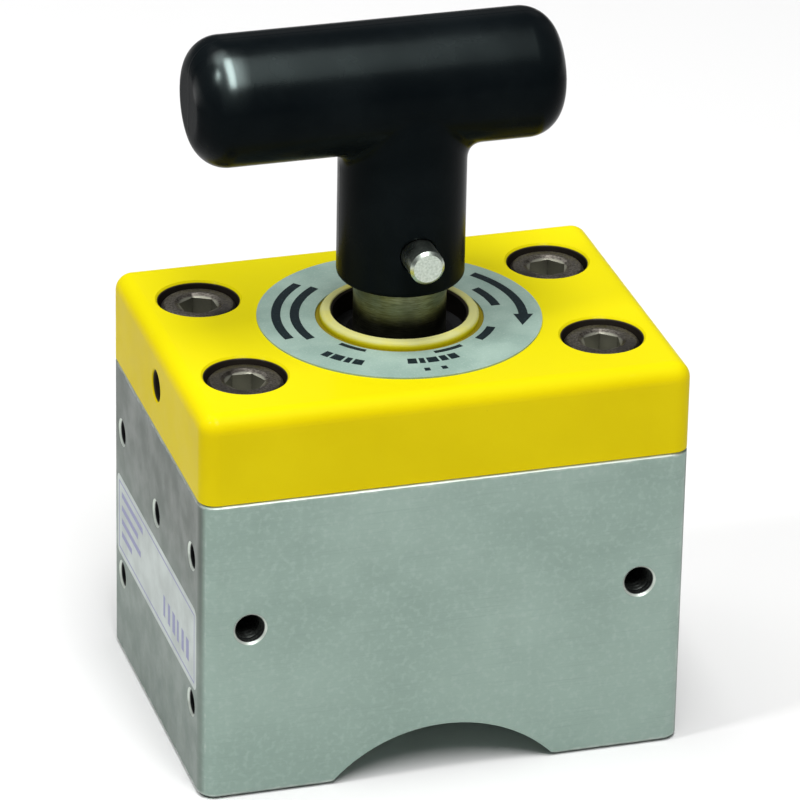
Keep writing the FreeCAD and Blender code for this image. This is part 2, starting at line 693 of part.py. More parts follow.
def cut_countersinks(body):
    """Three countersunk holes through the flange."""
    drill(body, "ShaftScrewHoles", "XY_Plane", "Fits.plate_top",
          [("Fits.shaft_screw_circle", "0")],
          "Sizes.shaft_screw_radius + Sizes.thread_gap", "Sizes.flange_height")
    repeat_round_axis(body, "ShaftScrewHoleCircle")
    depth = "Sizes.shaft_screw_head_radius - Sizes.shaft_screw_radius"
    for index in range(SHAFT_SCREW_COUNT):
        angle = f"{index} * 360 / {SHAFT_SCREW_COUNT}"
        subtract(body, "Cone", f"Countersink{index + 1}",
                 {"Radius1": "Sizes.shaft_screw_radius + Sizes.thread_gap",
                  "Radius2": "Sizes.shaft_screw_head_radius + Sizes.thread_gap",
                  "Height": depth},
                 (f"Fits.shaft_screw_circle * cos({angle})",
                  f"Fits.shaft_screw_circle * sin({angle})",
                  f"Fits.plate_top - ({depth})"))


def move_to(body, place, rotation=None):
    """Put a finished body at a place given by formulas."""
    if rotation:
        body.Placement = Placement(Vector(), rotation)
    for axis, formula in zip("xyz", place):
        body.setExpression(f".Placement.Base.{axis}", formula)
    document.recompute()


def make_shaft_screw(index):
    """Countersunk screw through the shaft's flange into the drive plate."""
    name = f"shaft_screw_{index + 1}"
    body = new_body(name)
    slope = "(Sizes.shaft_screw_head_radius - Sizes.shaft_screw_radius)"
    turn(body, f"ShaftScrewSection{index + 1}", [
        ("0", "-Sizes.shaft_screw_length"),
        ("Sizes.shaft_screw_core_radius", "-Sizes.shaft_screw_length"),
        ("Sizes.shaft_screw_core_radius", "-Sizes.flange_height"),
        ("Sizes.shaft_screw_radius", "-Sizes.flange_height"),
        ("Sizes.shaft_screw_radius", f"-{slope}"),
        ("Sizes.shaft_screw_head_radius", "0"),
        ("0", "0"),
    ])
    socket = sketch_on(body, f"ShaftScrewSocket{index + 1}", "XY_Plane")
    hexagon(socket, "Sizes.shaft_screw_socket_flats")
    pocket(body, socket, "Sizes.shaft_screw_socket_depth")
    angle = f"{index} * 360 / {SHAFT_SCREW_COUNT}"
    move_to(body, (f"Fits.shaft_screw_circle * cos({angle})",
                   f"Fits.shaft_screw_circle * sin({angle})",
                   "Fits.plate_top"))
    return body


def make_bearing_bush():
    """Flanged bush in the cover, with a side hole for the detent ball."""
    body = new_body("bearing_bush")
    turn(body, "BushSection", [
        ("Fits.bush_inner_radius", "Fits.spigot_bottom"),
        ("Fits.bush_flange_radius", "Fits.spigot_bottom"),
        ("Fits.bush_flange_radius", "Fits.bush_flange_top"),
        ("Fits.bush_outer_radius", "Fits.bush_flange_top"),
        ("Fits.bush_outer_radius", "Fits.seal_bottom"),
        ("Fits.bush_inner_radius", "Fits.seal_bottom"),
    ])
    drill(body, "BushBallHole", "YZ_Plane", "-Fits.bush_flange_radius",
          [("0", "Fits.detent_level")], "Sizes.detent_hole_radius",
          "Fits.bush_flange_radius", True)
    return body


def make_shaft_seal():
    """Rubber ring above the bush, its lip just clear of the shaft."""
    body = new_body("shaft_seal")
    lip = "Sizes.shaft_radius + Sizes.seal_gap"
    turn(body, "SealSection", [
        (lip, "Fits.seal_bottom + Sizes.seal_height / 2"),
        (f"{lip} + Sizes.seal_gap", "Fits.seal_bottom"),
        ("Fits.seal_radius", "Fits.seal_bottom"),
        ("Fits.seal_radius", "Fits.seal_bottom + Sizes.seal_height"),
        (f"{lip} + Sizes.seal_height / 2", "Fits.seal_bottom + Sizes.seal_height"),
    ])
    return body


def make_cover_o_ring():
    """O-ring between spigot and bore, drawn at its squeezed thickness."""
    ring = document.addObject("Part::Torus", "cover_o_ring")
    ring.Label = "cover_o_ring"
    ring.setExpression("Radius1", "Fits.ring_groove_floor + Fits.ring_section")
    ring.setExpression("Radius2", "Fits.ring_section")
    ring.setExpression(".Placement.Base.z", "Fits.spigot_middle")
    document.recompute()
    return ring


def make_top_cover():
    """Painted cover with its spigot, screw pockets, bush seat and detent hole."""
    body = new_body("top_cover")
    outline = sketch_on(body, "CoverOutline", "XY_Plane", "Sizes.block_height")
    draw_outline(outline, rectangle("Fits.half_width", "Fits.half_depth"))
    pad(body, outline, "Sizes.cover_height")
    dress(body, "Fillet", "Sizes.corner_radius", is_upright)
    dress(body, "Fillet", "Sizes.cover_edge_radius", in_plane("Z", number("Fits.cover_top")))
    spigot = sketch_on(body, "CoverSpigot", "XY_Plane", "Sizes.block_height")
    draw_circles(spigot, [("0", "0")], "Fits.bore_radius - Sizes.spigot_gap")
    pad(body, spigot, "Sizes.spigot_depth", True)
    ring_groove = sketch_on(body, "RingGrooveSection", "XZ_Plane")
    draw_outline(ring_groove, span(
        "Fits.ring_groove_floor", "Fits.bore_radius",
        "Fits.spigot_middle - Sizes.ring_groove_width / 2",
        "Fits.spigot_middle + Sizes.ring_groove_width / 2"))
    turn_away(body, ring_groove)
    cut_screw_pockets(body)
    add_collar(body)
    cut_bush_seat(body)
    drill(body, "StopPinHole", "XY_Plane", "Fits.spigot_bottom",
          [("Fits.stop_circle", "0")], "Sizes.stop_pin_radius + Sizes.seat_gap",
          "Fits.stop_pin_bottom + Sizes.stop_pin_length - Fits.spigot_bottom", True)
    drill(body, "DetentHole", "YZ_Plane", "-Fits.half_width",
          [("0", "Fits.detent_level")], "Sizes.detent_hole_radius",
          "Fits.half_width", True)
    mouth = circles_in("X", -number("Fits.half_width"), number("Sizes.detent_hole_radius"))
    dress(body, "Chamfer", "Sizes.hole_chamfer", mouth)
    return body


def cut_screw_pockets(body):
    """Clearance holes and head pockets of the four cover screws."""
    drill(body, "ScrewClearance", "XY_Plane", "Fits.cover_top", SCREW_PLACES,
          "Sizes.screw_radius + Sizes.screw_hole_gap", "Sizes.cover_height")
    head_pocket = "Sizes.screw_head_radius + Sizes.screw_hole_gap"
    drill(body, "ScrewHeadPockets", "XY_Plane", "Fits.cover_top", SCREW_PLACES,
          head_pocket, "Sizes.counterbore_depth")
    rim = circles_in("Z", number("Fits.cover_top"), number(head_pocket))
    dress(body, "Chamfer", "Sizes.hole_chamfer", rim)


def add_collar(body):
    """A low raised ring on the cover, which the seal pocket runs up through."""
    sketch = sketch_on(body, "Collar", "XY_Plane", "Fits.cover_top")
    draw_circles(sketch, [("0", "0")], "Fits.collar_radius")
    pad(body, sketch, "Sizes.collar_height")
    rim = circles_in("Z", number("Fits.collar_top"), number("Fits.collar_radius"))
    dress(body, "Fillet", "Sizes.collar_edge_radius", rim)


def cut_bush_seat(body):
    """Bore for the bush, with its flange seat below and the seal pocket above."""
    drill(body, "BushSeat", "XY_Plane", "Fits.collar_top", [("0", "0")],
          "Fits.bush_outer_radius + Sizes.seat_gap",
          "Fits.collar_top - Fits.spigot_bottom")
    drill(body, "BushFlangeSeat", "XY_Plane", "Fits.spigot_bottom", [("0", "0")],
          "Fits.bush_flange_radius + Sizes.seat_gap", "Sizes.bush_flange_height", True)
    drill(body, "SealPocket", "XY_Plane", "Fits.collar_top", [("0", "0")],
          "Fits.seal_radius + Sizes.seat_gap", "Fits.collar_top - Fits.seal_bottom")
    rim = circles_in("Z", number("Fits.collar_top"),
                     number("Fits.seal_radius + Sizes.seat_gap"))
    dress(body, "Chamfer", "Sizes.pocket_chamfer", rim)


def make_cover_screw(index, place):
    """M8 socket-head cap screw, its head below the cover's top face."""
    name = f"cover_screw_{index + 1}"
    body = new_body(name)
    turn(body, f"CoverScrewSection{index + 1}", [
        ("0", "-Sizes.screw_length"),
        ("Sizes.screw_core_radius", "-Sizes.screw_length"),
        ("Sizes.screw_core_radius", "-Fits.screw_grip"),
        ("Sizes.screw_radius", "-Fits.screw_grip"),
        ("Sizes.screw_radius", "0"),
        ("Sizes.screw_head_radius", "0"),
        ("Sizes.screw_head_radius", "Sizes.screw_head_height"),
        ("0", "Sizes.screw_head_height"),
    ])
    top_rim = circles_in("Z", number("Sizes.screw_head_height"),
                         number("Sizes.screw_head_radius"))
    dress(body, "Chamfer", "Sizes.hole_chamfer", top_rim)
    socket = sketch_on(body, f"CoverScrewSocket{index + 1}", "XY_Plane",
                       "Sizes.screw_head_height")
    hexagon(socket, "Sizes.screw_socket_flats")
    pocket(body, socket, "Sizes.screw_socket_depth")
    across, deep = place
    move_to(body, (across, deep, "Fits.screw_seat"))
    return body


def make_stop_pin():
    """Pin pressed into the cover; its lower end runs in the stop groove."""
    pin = document.addObject("Part::Cylinder", "stop_pin")
    pin.Label = "stop_pin"
    pin.setExpression("Radius", "Sizes.stop_pin_radius")
    pin.setExpression("Height", "Sizes.stop_pin_length")
    pin.setExpression(".Placement.Base.x", "Fits.stop_circle")
    pin.setExpression(".Placement.Base.z", "Fits.stop_pin_bottom")
    document.recompute()
    return pin


def make_detent_screw():
    """M6 set screw that backs the detent spring, its socket facing left."""
    body = new_body("detent_screw")
    turn(body, "DetentScrewSection", span(
        "0", "Sizes.detent_hole_radius - Sizes.thread_gap",
        "-Sizes.detent_screw_length", "0"))
    rim = number("Sizes.detent_hole_radius - Sizes.thread_gap")
    dress(body, "Chamfer", "Sizes.hole_chamfer", lambda edge: is_circle(edge, rim))
    socket = sketch_on(body, "DetentSocket", "XY_Plane")
    hexagon(socket, "Sizes.detent_socket_flats")
    pocket(body, socket, "Sizes.detent_socket_depth")
    move_to(body, ("-Fits.detent_screw_outer", "0", "Fits.detent_level"),
            Rotation(Vector(0, 0, 1), Vector(-1, 0, 0)))
    return body


def make_detent_spring():
    """Coil spring between the set screw and the ball."""
    helix = document.addObject("Part::Helix", "SpringPath")
    usable = "(Fits.spring_length - 2 * Sizes.spring_wire_radius)"
    helix.setExpression("Height", usable)
    helix.setExpression("Pitch", f"{usable} / Sizes.spring_coils")
    helix.setExpression("Radius", "Fits.spring_radius")
    wire = document.addObject("Part::Circle", "SpringWire")
    wire.setExpression("Radius", "Sizes.spring_wire_radius")
    wire.Placement = Placement(Vector(), Rotation(Vector(1, 0, 0), 90))
    wire.setExpression(".Placement.Base.x", "Fits.spring_radius")
    spring = document.addObject("Part::Sweep", "detent_spring")
    spring.Label = "detent_spring"
    spring.Sections = [wire]
    spring.Spine = (helix, ["Edge1"])
    spring.Solid = True
    spring.Frenet = True
    spring.Placement = Placement(Vector(), Rotation(Vector(0, 0, 1), Vector(1, 0, 0)))
    spring.setExpression(
        ".Placement.Base.x", "-Fits.detent_screw_inner + Sizes.spring_wire_radius")
    spring.setExpression(".Placement.Base.z", "Fits.detent_level")
    document.recompute()
    return spring


def make_detent_ball():
    """Ball that drops into a dimple of the shaft at each end of the turn."""
    ball = document.addObject("Part::Sphere", "detent_ball")
    ball.Label = "detent_ball"
    ball.setExpression("Radius", "Sizes.ball_radius")
    ball.setExpression(".Placement.Base.x", "-Fits.ball_seat")
    ball.setExpression(".Placement.Base.z", "Fits.detent_level")
    document.recompute()
    return ball


def make_t_handle():
    """Moulded T-handle: an off-centre bar on a stem that is bored for the shaft."""
    body = new_body("t_handle")
    bar = sketch_on(body, "BarSection", "YZ_Plane", "-Sizes.bar_long_end")
    draw_circles(bar, [("0", "Fits.bar_axis")], "Sizes.bar_radius")
    pad(body, bar, "Sizes.bar_long_end + Sizes.bar_short_end")
    bar_radius = number("Sizes.bar_radius")
    dress(body, "Fillet", "Sizes.bar_end_radius", lambda edge: is_circle(edge, bar_radius))
    stem = sketch_on(body, "StemSection", "XY_Plane", "Fits.stem_bottom")
    draw_circles(stem, [("0", "0")], "Sizes.stem_radius")
    pad(body, stem, "Fits.bar_axis - Fits.stem_bottom")
    lower_rim = circles_in("Z", number("Fits.stem_bottom"), number("Sizes.stem_radius"))
    dress(body, "Fillet", "Sizes.stem_edge_radius", lower_rim)
    dress(body, "Fillet", "Sizes.stem_fillet_radius", is_saddle_shaped)
    drill(body, "StemBore", "XY_Plane", "Fits.stem_bottom", [("0", "0")],
          "Sizes.shaft_radius + Sizes.stem_bore_gap",
          "Fits.shaft_top + Sizes.stem_bore_headroom - Fits.stem_bottom", True)
    drill(body, "HandlePinHole", "XZ_Plane", "2 * Sizes.stem_radius",
          [("0", "Fits.pin_level")], "Sizes.pin_radius + Sizes.seat_gap",
          "4 * Sizes.stem_radius")
    return body


def make_handle_pin():
    """Cross pin through stem and shaft, proud of the stem at the front."""
    body = new_body("handle_pin")
    sketch = sketch_on(body, "PinSection", "XZ_Plane", "Sizes.stem_radius + Sizes.pin_proud")
    draw_circles(sketch, [("0", "Fits.pin_level")], "Sizes.pin_radius")
    pad(body, sketch, "Fits.pin_length", True)
    radius = number("Sizes.pin_radius")
    dress(body, "Chamfer", "Sizes.pin_chamfer", lambda edge: is_circle(edge, radius))
    return body


def make_all():
    parts = [
        make_body_block(),
        make_fixed_magnet(),
        make_magnet_dowel(),
        make_slip_disc(),
        make_rotating_magnet(),
        make_drive_plate(),
        make_drive_shaft(),
        make_bearing_bush(),
        make_shaft_seal(),
        make_cover_o_ring(),
        make_top_cover(),
        make_stop_pin(),
        make_detent_screw(),
        make_detent_spring(),
        make_detent_ball(),
        make_t_handle(),
        make_handle_pin(),
        make_dial_label(),
        make_side_label(),
    ]
    parts += [make_shaft_screw(index) for index in range(SHAFT_SCREW_COUNT)]
    parts += [make_cover_screw(index, place) for index, place in enumerate(SCREW_PLACES)]
    return parts


def check_document():
    """Stop if any object of the document failed."""
    for item in document.Objects:
        if "Invalid" in item.State or "Error" in item.State:
            raise RuntimeError(f"{item.Name} failed: {item.State}")


def check_part(part):
    """Stop unless the sub-part is one valid solid."""
    shape = part.Shape
    if shape.isNull() or not shape.isValid():
        raise RuntimeError(f"{part.Label} is not a valid shape")
    if len(shape.Solids) != 1:
        raise RuntimeError(f"{part.Label} has {len(shape.Solids)} solids")


def write_parts(parts):
    document.recompute()
    check_document()
    for part in parts:
        check_part(part)
    os.makedirs("parts", exist_ok=True)
    for part in parts:
        part.Shape.exportStep(f"parts/{part.Label}.step")


write_parts(make_all())
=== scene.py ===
import json
import math

import bpy
import numpy as np
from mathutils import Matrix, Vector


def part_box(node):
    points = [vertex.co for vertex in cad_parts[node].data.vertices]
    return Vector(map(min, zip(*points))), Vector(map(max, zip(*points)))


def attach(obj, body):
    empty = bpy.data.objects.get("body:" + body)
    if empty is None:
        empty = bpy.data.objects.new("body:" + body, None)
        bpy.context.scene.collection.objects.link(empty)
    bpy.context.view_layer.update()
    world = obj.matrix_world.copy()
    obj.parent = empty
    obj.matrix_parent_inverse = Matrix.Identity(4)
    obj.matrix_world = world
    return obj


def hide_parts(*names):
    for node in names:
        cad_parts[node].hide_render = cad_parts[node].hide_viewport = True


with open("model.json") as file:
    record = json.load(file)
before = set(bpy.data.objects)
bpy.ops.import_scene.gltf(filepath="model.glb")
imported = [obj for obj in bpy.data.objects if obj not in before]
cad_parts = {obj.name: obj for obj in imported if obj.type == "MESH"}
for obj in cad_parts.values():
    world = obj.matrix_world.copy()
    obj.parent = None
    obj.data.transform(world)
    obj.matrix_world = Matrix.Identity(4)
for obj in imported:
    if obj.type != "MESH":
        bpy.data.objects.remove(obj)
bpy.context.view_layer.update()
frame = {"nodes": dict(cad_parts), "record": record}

import openvdb
from mathutils import Matrix, Vector

# The looks of a switchable block lifting magnet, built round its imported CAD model.
# The frame is the CAD's: +Z up, -Y to the front, origin under the block. The scene is in
# metres; shapes are worked out in millimetres, which MM turns into metres.

MM = 0.001


# ---------------------------------------------------------------- places taken from the frame

class Place:
    """Where the CAD nodes are, as their boxes give it.

    cover_top is the level that the dial label lies on, below the collar's rim, and screw is
    how far the four cover screws stand from the shaft's axis.
    """

    block_low, block_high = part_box("body_block")
    dial_low, dial_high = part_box("dial_label")
    cover_low, cover_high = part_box("top_cover")
    cover_top = Vector((cover_high.x, cover_high.y, dial_low.z))
    side_low, side_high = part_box("side_label")
    handle_low, handle_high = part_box("t_handle")
    pin_low, pin_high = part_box("handle_pin")
    seal_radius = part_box("shaft_seal")[1].x
    detent_low, detent_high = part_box("detent_screw")
    screw_low, screw_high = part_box("cover_screw_1")
    screw = Vector(abs(low + high) / 2 for low, high in zip(screw_low, screw_high))


# ---------------------------------------------------------------- materials

class Graph:
    """A material's node tree, built one node at a time. Textures use object coordinates."""

    def __init__(self, name):
        self.material = bpy.data.materials.new(name)
        self.material.use_nodes = True
        self.tree = self.material.node_tree
        self.surface = self.tree.nodes["Principled BSDF"]
        self.place = self.add("ShaderNodeTexCoord").outputs["Object"]

    def add(self, kind, inputs=None, **settings):
        node = self.tree.nodes.new(kind)
        for name, value in settings.items():
            setattr(node, name, value)
        for socket, value in (inputs or {}).items():
            self.feed(node.inputs[socket], value)
        return node

    def feed(self, socket, value):
        if isinstance(value, bpy.types.NodeSocket):
            self.tree.links.new(value, socket)
        else:
            socket.default_value = value

    def set(self, **sockets):
        """Set or link sockets of the surface shader; underscores stand for spaces."""
        for name, value in sockets.items():
            self.feed(self.surface.inputs[name.replace("_", " ")], value)

    def math(self, operation, first, second=0.0):
        node = self.add("ShaderNodeMath", {0: first, 1: second}, operation=operation)
        return node.outputs[0]

    def both(self, first, second):
        """The product of two values, or where two masks overlap."""
        return self.math("MULTIPLY", first, second)

    def stretched(self, scale):
        """Object coordinates multiplied by a vector."""
        node = self.add("ShaderNodeVectorMath", {0: self.place, 1: scale},
                        operation="MULTIPLY")
        return node.outputs[0]

    def noise(self, scale, detail=3.0, roughness=0.55, vector=None):
        node = self.add("ShaderNodeTexNoise", {
            "Vector": vector or self.place, "Scale": scale,
            "Detail": detail, "Roughness": roughness})
        return node.outputs["Fac"]

    def cells(self, scale):
        """Distance to the nearest point of a scattered set."""
        node = self.add("ShaderNodeTexVoronoi", {"Vector": self.place, "Scale": scale})
        return node.outputs["Distance"]

    def span(self, value, low, high, to_low=0.0, to_high=1.0):
        """Map low..high to to_low..to_high, with soft ends."""
        node = self.add("ShaderNodeMapRange", {
            "Value": value, "From Min": low, "From Max": high,
            "To Min": to_low, "To Max": to_high}, interpolation_type="SMOOTHSTEP")
        return node.outputs["Result"]

    def mix(self, share, first, second):
        """Mix two colours by a share from 0 to 1."""
        node = self.add("ShaderNodeMix", data_type="RGBA")
        colour_a, colour_b, colour_out = 6, 7, 2
        self.feed(node.inputs["Factor"], share)
        self.feed(node.inputs[colour_a], first)
        self.feed(node.inputs[colour_b], second)
        return node.outputs[colour_out]

    def axes(self):
        node = self.add("ShaderNodeSeparateXYZ", {0: self.place})
        return node.outputs[0], node.outputs[1], node.outputs[2]

    def length(self, first, second):
        squares = self.math("ADD", self.both(first, first), self.both(second, second))
        return self.math("SQRT", squares)

    def radius(self):
        """Distance from the shaft's axis."""
        across, deep, _ = self.axes()
        return self.length(across, deep)

    def bump(self, height, distance, strength, below=None):
        inputs = {"Height": height, "Distance": distance, "Strength": strength}
        if below:
            inputs["Normal"] = below
        return self.add("ShaderNodeBump", inputs).outputs["Normal"]

    def from_screws(self):
        """Distance from the nearest of the four cover screws' axes."""
        across, deep, _ = self.axes()
        return self.length(
            self.math("SUBTRACT", self.math("ABSOLUTE", across), Place.screw.x),
            self.math("SUBTRACT", self.math("ABSOLUTE", deep), Place.screw.y))

    def from_faces(self, low, high):
        """Distances inward from the three pairs of faces of a box."""
        away = []
        for value, start, end in zip(self.axes(), low, high):
            from_middle = self.math("ABSOLUTE",
                                    self.math("SUBTRACT", value, (start + end) / 2))
            away.append(self.math("SUBTRACT", (end - start) / 2, from_middle))
        return away

    def face_distance(self, low, high):
        """Distance inward from the nearest face of a box."""
        away = self.from_faces(low, high)
        return self.math("MINIMUM", self.math("MINIMUM", away[0], away[1]), away[2])

    def edge_distance(self, low, high):
        """Distance from the nearest edge of a box, for points on the box's faces."""
        away = self.from_faces(low, high)
        smaller = self.math("MINIMUM", away[0], away[1])
        larger = self.math("MAXIMUM", away[0], away[1])
        return self.math("MAXIMUM", smaller, self.math("MINIMUM", larger, away[2]))


def colour(red, green, blue):
    return (red, green, blue, 1.0)


def plated_steel():
    """Ground block, plated satin grey-green: bright worn edges, painted shade on sides and in
    holes.
    """
    graph = Graph("plated_steel_look")
    clouds = graph.noise(38.0, 4.0)
    grain = graph.noise(900.0, 2.0)
    lines = graph.noise(1.0, 3.0, 0.6, graph.stretched((60.0, 60.0, 5200.0)))
    plate = graph.mix(graph.span(clouds, 0.35, 0.68),
                      colour(0.250, 0.340, 0.295), colour(0.290, 0.385, 0.337))
    plate = graph.mix(graph.span(grain, 0.45, 0.75, 0.0, 0.35),
                      plate, colour(0.38, 0.47, 0.43))
    plate = graph.mix(graph.span(lines, 0.52, 0.7, 0.0, 0.22),
                      plate, colour(0.20, 0.27, 0.24))

    across, deep, level = graph.axes()
    from_middle, from_centre = graph.math("ABSOLUTE", across), graph.math("ABSOLUTE", deep)
    half_width, half_depth = Place.block_high.x, Place.block_high.y
    # Painted shade: both side faces are mixed towards near-black, more towards their top.
    on_side = graph.span(from_middle, half_width - 1.0 * MM, half_width - 0.15 * MM)
    side_shade = graph.span(level, 18.0 * MM, 50.0 * MM, 0.56, 0.86)
    plate = graph.mix(graph.both(on_side, side_shade), plate, colour(0.060, 0.070, 0.058))

    edge = graph.edge_distance(Place.block_low, Place.block_high)
    ragged = graph.math("ADD", edge, graph.both(graph.noise(420.0, 3.0), 1.4 * MM))
    worn = graph.span(ragged, 0.9 * MM, 1.7 * MM, 1.0, 0.0)
    plate = graph.mix(worn, plate, colour(0.50, 0.56, 0.52))

    # What lies inside the block's box is a hole, apart from its corners and the saddle.
    corner_size, saddle_top = 3.5 * MM, 9.1 * MM
    corner = graph.both(
        graph.math("GREATER_THAN", from_middle, half_width - corner_size),
        graph.math("GREATER_THAN", from_centre, half_depth - corner_size))
    above_saddle = graph.math("GREATER_THAN", level, Place.block_low.z + saddle_top)
    in_hole = graph.both(above_saddle, graph.math("SUBTRACT", 1.0, corner))
    sunk = graph.face_distance(Place.block_low, Place.block_high)
    mouth = graph.both(in_hole, graph.span(sunk, 0.02 * MM, 0.06 * MM))
    plate = graph.mix(mouth, plate, colour(0.60, 0.66, 0.60))
    # Painted shade: deeper in the holes the wall is painted near-black.
    inside = graph.both(in_hole, graph.span(sunk, 0.30 * MM, 0.45 * MM))
    plate = graph.mix(inside, plate, colour(0.012, 0.012, 0.014))

    roughness = graph.span(graph.noise(160.0, 3.0), 0.3, 0.7, 0.36, 0.50)
    relief = graph.bump(lines, 0.010 * MM, 0.6)
    relief = graph.bump(grain, 0.016 * MM, 0.6, relief)
    graph.set(Base_Color=plate, Roughness=roughness, Metallic=0.55, Normal=relief)
    return graph.material


def yellow_paint():
    """Yellow enamel; painted light on top and collar, painted shade in pockets and by the
    collar.
    """
    graph = Graph("yellow_paint_look")
    across, deep, level = graph.axes()
    radius = graph.radius()
    cover_top, seal_radius = Place.cover_top.z, Place.seal_radius

    clouds = graph.noise(45.0, 3.0)
    paint = graph.mix(graph.span(clouds, 0.3, 0.7),
                      colour(0.66, 0.520, 0.002), colour(0.70, 0.560, 0.003))
    specks = graph.span(graph.cells(520.0), 0.0, 0.09, 0.5, 0.0)
    paint = graph.mix(graph.both(specks, graph.span(clouds, 0.5, 0.62)),
                      paint, colour(0.42, 0.32, 0.01))
    edge = graph.edge_distance(Place.cover_low, Place.cover_top)
    ragged = graph.math("ADD", edge, graph.both(graph.noise(300.0, 4.0), 3.0 * MM))
    paint = graph.mix(graph.span(ragged, 1.1 * MM, 2.2 * MM, 0.5, 0.0),
                      paint, colour(0.80, 0.72, 0.08))
    # Painted light: the top face and the top of the cover's sides are mixed to a brighter,
    # greener yellow.
    top_light = graph.span(level, cover_top - 2.4 * MM, cover_top - 0.2 * MM, 0.0, 0.75)
    paint = graph.mix(top_light, paint, colour(0.68, 0.61, 0.003))

    collar_radius = seal_radius + 2.1 * MM
    on_collar = graph.both(
        graph.span(radius, collar_radius - 0.1 * MM, collar_radius + 0.2 * MM, 1.0, 0.0),
        graph.span(level, cover_top + 0.5 * MM, cover_top + 1.1 * MM))
    # Painted highlight: a pale cream on the collar's top, broken up by noise.
    collar_highlight = graph.both(on_collar, graph.span(graph.noise(210.0), 0.25, 0.6, 0.45, 0.85))
    paint = graph.mix(collar_highlight, paint, colour(0.56, 0.57, 0.27))
    # Painted shade: a dark brown ring round the foot of the collar.
    beside_collar = graph.both(
        graph.span(radius, collar_radius, collar_radius + 0.15 * MM),
        graph.span(radius, collar_radius + 0.9 * MM, collar_radius + 1.1 * MM, 1.0, 0.0))
    collar_foot_shade = graph.both(beside_collar,
                       graph.span(level, cover_top, cover_top + 0.7 * MM, 0.75, 0.0))
    paint = graph.mix(collar_foot_shade, paint, colour(0.07, 0.045, 0.012))

    screw_pocket, detent_hole, soft = 7.2 * MM, 2.8 * MM, 0.1 * MM
    in_screw_pocket = graph.both(
        graph.span(graph.from_screws(), screw_pocket - soft, screw_pocket + soft, 1.0, 0.0),
        graph.span(level, cover_top - 0.4 * MM, cover_top - 0.2 * MM, 1.0, 0.0))
    in_seal_pocket = graph.span(radius, seal_radius + 0.3 * MM, seal_radius + 0.45 * MM,
                                1.0, 0.0)
    detent_level = (Place.detent_low.z + Place.detent_high.z) / 2
    from_detent = graph.length(deep, graph.math("SUBTRACT", level, detent_level))
    in_detent_hole = graph.both(
        graph.span(from_detent, detent_hole - soft, detent_hole + soft, 1.0, 0.0),
        graph.both(graph.span(across, Place.cover_low.x + 0.05 * MM,
                              Place.cover_low.x + 0.3 * MM),
                   graph.math("LESS_THAN", across, -seal_radius)))
    # Painted shade: the screw pockets, the seal pocket and the detent hole are painted
    # near-black.
    pocket_shade = graph.math("MAXIMUM", in_screw_pocket,
                      graph.math("MAXIMUM", in_seal_pocket, in_detent_hole))
    pocket_shade_tone = graph.mix(graph.noise(300.0), colour(0.016, 0.012, 0.010),
                      colour(0.035, 0.030, 0.024))

    peel = graph.bump(graph.noise(1500.0, 2.0), 0.018 * MM, 0.5)
    peel = graph.bump(graph.noise(240.0, 2.0), 0.05 * MM, 0.35, peel)
    graph.set(Base_Color=graph.mix(pocket_shade, paint, pocket_shade_tone),
              Roughness=graph.span(graph.noise(120.0), 0.3, 0.7, 0.30, 0.40),
              Specular_IOR_Level=0.012, Normal=peel,
              Coat_Weight=0.04, Coat_Roughness=0.10)
    return graph.material


def black_plastic():
    """Black moulding with a parting line, glossier on the bar's top front and left end."""
    graph = Graph("black_plastic_look")
    smudge = graph.noise(70.0, 4.0)
    tone = graph.mix(graph.span(smudge, 0.3, 0.7),
                     colour(0.0022, 0.0034, 0.0042), colour(0.0042, 0.0060, 0.0070))

    across, deep, level = graph.axes()
    bar_radius = (Place.handle_high.y - Place.handle_low.y) / 2
    bar_level = Place.handle_high.z - bar_radius
    left_end = Place.handle_low.x
    top_front = graph.both(
        graph.span(level, bar_level + 0.15 * bar_radius, bar_level + 0.6 * bar_radius),
        graph.span(deep, -0.5 * bar_radius, -0.22 * bar_radius, 1.0, 0.0))
    shoulder = graph.both(
        graph.span(across, left_end + 2.6 * MM, left_end + 3.9 * MM),
        graph.span(across, left_end + 5.2 * MM, left_end + 9.0 * MM, 1.0, 0.0))
    gloss = graph.math("ADD", graph.both(top_front, 0.15),
                       graph.both(graph.both(top_front, shoulder), 0.85))
    least = graph.span(across, left_end + 0.1 * MM, left_end + 1.6 * MM, 0.004, 0.02)

    seam = graph.span(graph.math("ABSOLUTE", deep), 0.10 * MM, 0.32 * MM, 1.0, 0.0)
    grain = graph.bump(graph.noise(1900.0, 2.0), 0.010 * MM, 0.5)
    graph.set(Base_Color=tone, Normal=graph.bump(seam, 0.05 * MM, 0.8, grain),
              Specular_IOR_Level=graph.math("ADD", gloss, least),
              Specular_Tint=colour(0.80, 1.0, 0.97),
              Roughness=graph.span(smudge, 0.3, 0.75, 0.22, 0.30))
    return graph.material


def metal(name, dark, light, roughness, mark_scale, depth=0.014, metallic=1.0):
    """Metal with tool marks: how fine they are along each axis, and their depth in mm."""
    graph = Graph(name)
    marks = graph.noise(1.0, 3.0, 0.6, graph.stretched(mark_scale))
    stain = graph.noise(130.0, 3.0)
    share = graph.both(graph.span(marks, 0.3, 0.7), graph.span(stain, 0.2, 0.6))
    relief = graph.bump(marks, depth * MM, 0.6)
    relief = graph.bump(graph.noise(900.0, 2.0), depth * 0.8 * MM, 0.4, relief)
    graph.set(Base_Color=graph.mix(share, dark, light), Metallic=metallic,
              Roughness=graph.span(stain, 0.25, 0.75, roughness - 0.07, roughness + 0.08),
              Normal=relief)
    return graph.material


